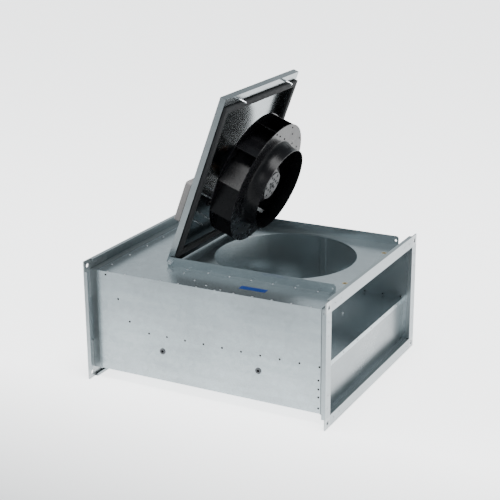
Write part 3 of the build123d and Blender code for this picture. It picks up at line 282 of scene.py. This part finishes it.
def foam_gasket():
    """The foam frame under the lid.

    Its section is a square with soft corners, a superellipse of power eight.  The section runs
    round a rectangle, and a point further out in the section lies on a larger rectangle, so the
    corners are mitred.  Slow sines along the strip make its edges wander by a quarter millimetre,
    and others lift its lower face by up to half a millimetre.
    """
    turn = np.linspace(0, 2 * pi, 40, endpoint=False)
    soft = (np.abs(np.cos(turn)) ** 8 + np.abs(np.sin(turn)) ** 8) ** (-1 / 8)
    side, lift = STRIP_HALF * soft * np.cos(turn), soft * np.sin(turn)
    step = np.linspace(-1, 1, 90, endpoint=False)
    one = np.ones_like(step)
    u = np.concatenate([step, one, -step, -one])[:, None]
    y = np.concatenate([-one, step, one, -step])[:, None]
    run = np.arange(len(u))[:, None] / len(u) * 2 * pi
    wander = 0.00025 * (np.sin(23 * run) + 0.6 * np.sin(61 * run + 1.0)) * np.abs(np.cos(turn))
    out = side + wander * np.sign(np.cos(turn))
    press = 0.00022 * (1 + np.sin(37 * run + 2.0 * np.sin(5 * run))) * (lift < 0)
    half_thick = (STRIP_HIGH - STRIP_LOW) / 2
    v = (STRIP_LOW + STRIP_HIGH) / 2 + half_thick * lift + press
    points = lid_point(FOAM_MIDDLE + (FOAM_HALF_LONG + out) * u, (FOAM_HALF_WIDE + out) * y, v)
    piece = grid_mesh("foam_gasket", points, "foam", "lid")
    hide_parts("lid_gasket")


foam_gasket()


# ---------------------------------------------------------------- floor, light and camera
def floor():
    """A large plain pale floor, lit from below like a light table, whose glow fades out in front.

    The sheet metal mirrors the floor, so the fade gives the front panel its shading.
    """
    half = 30.0
    glow_gone, glow_full = -1.05, -0.33
    mesh = bpy.data.meshes.new("floor")
    corners = [(-half, -half, 0), (half, -half, 0), (half, half, 0), (-half, half, 0)]
    mesh.from_pydata(corners, [], [(0, 1, 2, 3)])
    plane = bpy.data.objects.new("floor", mesh)
    scene.collection.objects.link(plane)
    g = Graph("floor paper", (0.92, 0.92, 0.92), 0.9)
    split = g.new("ShaderNodeSeparateXYZ")
    g.feed(split.inputs[0], g.place)
    glow = g.ramp(split.outputs["Y"], glow_gone, glow_full, 0.0, 2.4)
    g.set(Emission_Color=(1, 1, 1, 1), Emission_Strength=glow)
    mesh.materials.append(g.material)


def area_light(name, place, aim, size, power):
    """A rectangular softbox at a place, turned to its aim.  Sizes in metres, power in watts."""
    data = bpy.data.lights.new(name, "AREA")
    data.shape = "RECTANGLE"
    data.size, data.size_y = size
    data.energy = power
    light = bpy.data.objects.new(name, data)
    light.matrix_world = looking(Vector(place), Vector(aim))
    scene.collection.objects.link(light)


def looking(place, aim):
    """A matrix at a place whose -Z points at the aim."""
    turn = (aim - place).to_track_quat("-Z", "Y")
    return Matrix.Translation(place) @ turn.to_matrix().to_4x4()


def camera():
    """The camera, from its azimuth, elevation and a small roll."""
    az, el, roll = radians(AZIMUTH), radians(ELEVATION), radians(ROLL)
    ahead = Vector((cos(el) * sin(az), cos(el) * cos(az), -sin(el)))
    right = ahead.cross(Vector((0, 0, 1))).normalized()
    up = right.cross(ahead)
    right, up = cos(roll) * right + sin(roll) * up, cos(roll) * up - sin(roll) * right
    data = bpy.data.cameras.new("camera")
    data.lens = LENS
    data.sensor_width = SENSOR
    turn = Matrix((right, up, -ahead)).transposed().to_4x4()
    cam = bpy.data.objects.new("camera", data)
    cam.matrix_world = Matrix.Translation(CAMERA_PLACE) @ turn
    scene.collection.objects.link(cam)
    scene.camera = cam


def surroundings():
    """Studio air: pale up to about twenty degrees above the floor, and dim higher up.

    The top panel mirrors the pale band, and the upright sheets mirror the dim part.
    """
    world = bpy.data.worlds.new("studio")
    world.use_nodes = True
    tree = world.node_tree
    back = tree.nodes["Background"]
    place = tree.nodes.new("ShaderNodeTexCoord")
    split = tree.nodes.new("ShaderNodeSeparateXYZ")
    tree.links.new(place.outputs["Generated"], split.inputs[0])
    ramp = tree.nodes.new("ShaderNodeValToRGB")
    stops = ramp.color_ramp.elements
    stops[0].position, stops[0].color = 0.0, (1.0, 1.0, 1.0, 1)
    stops[1].position, stops[1].color = 1.0, (0.50, 0.55, 0.58, 1)
    tones = {0.05: (0.90, 0.97, 1.00), 0.34: (1.15, 1.25, 1.30),
             0.52: (0.30, 0.35, 0.38), 0.75: (0.30, 0.34, 0.37)}
    for height, tone in tones.items():
        stops.new(height).color = (*tone, 1)
    tree.links.new(split.outputs["Z"], ramp.inputs["Fac"])
    tree.links.new(ramp.outputs["Color"], back.inputs["Color"])
    back.inputs["Strength"].default_value = 1.0
    scene.world = world


floor()
camera()
surroundings()
area_light("front softbox", (0.6, -4.6, 3.4), (0, 0, 0.2), (2.4, 1.6), 45)
area_light("left softbox", (-3.6, -2.2, 2.6), (0, 0, 0.3), (1.2, 1.6), 50)
area_light("right softbox", (4.2, -0.6, 2.6), (0, 0, 0.3), (1.4, 1.6), 12)
area_light("overhead softbox", (0.6, -0.6, 5.0), (0, 0.2, 0), (2.4, 2.0), 260)
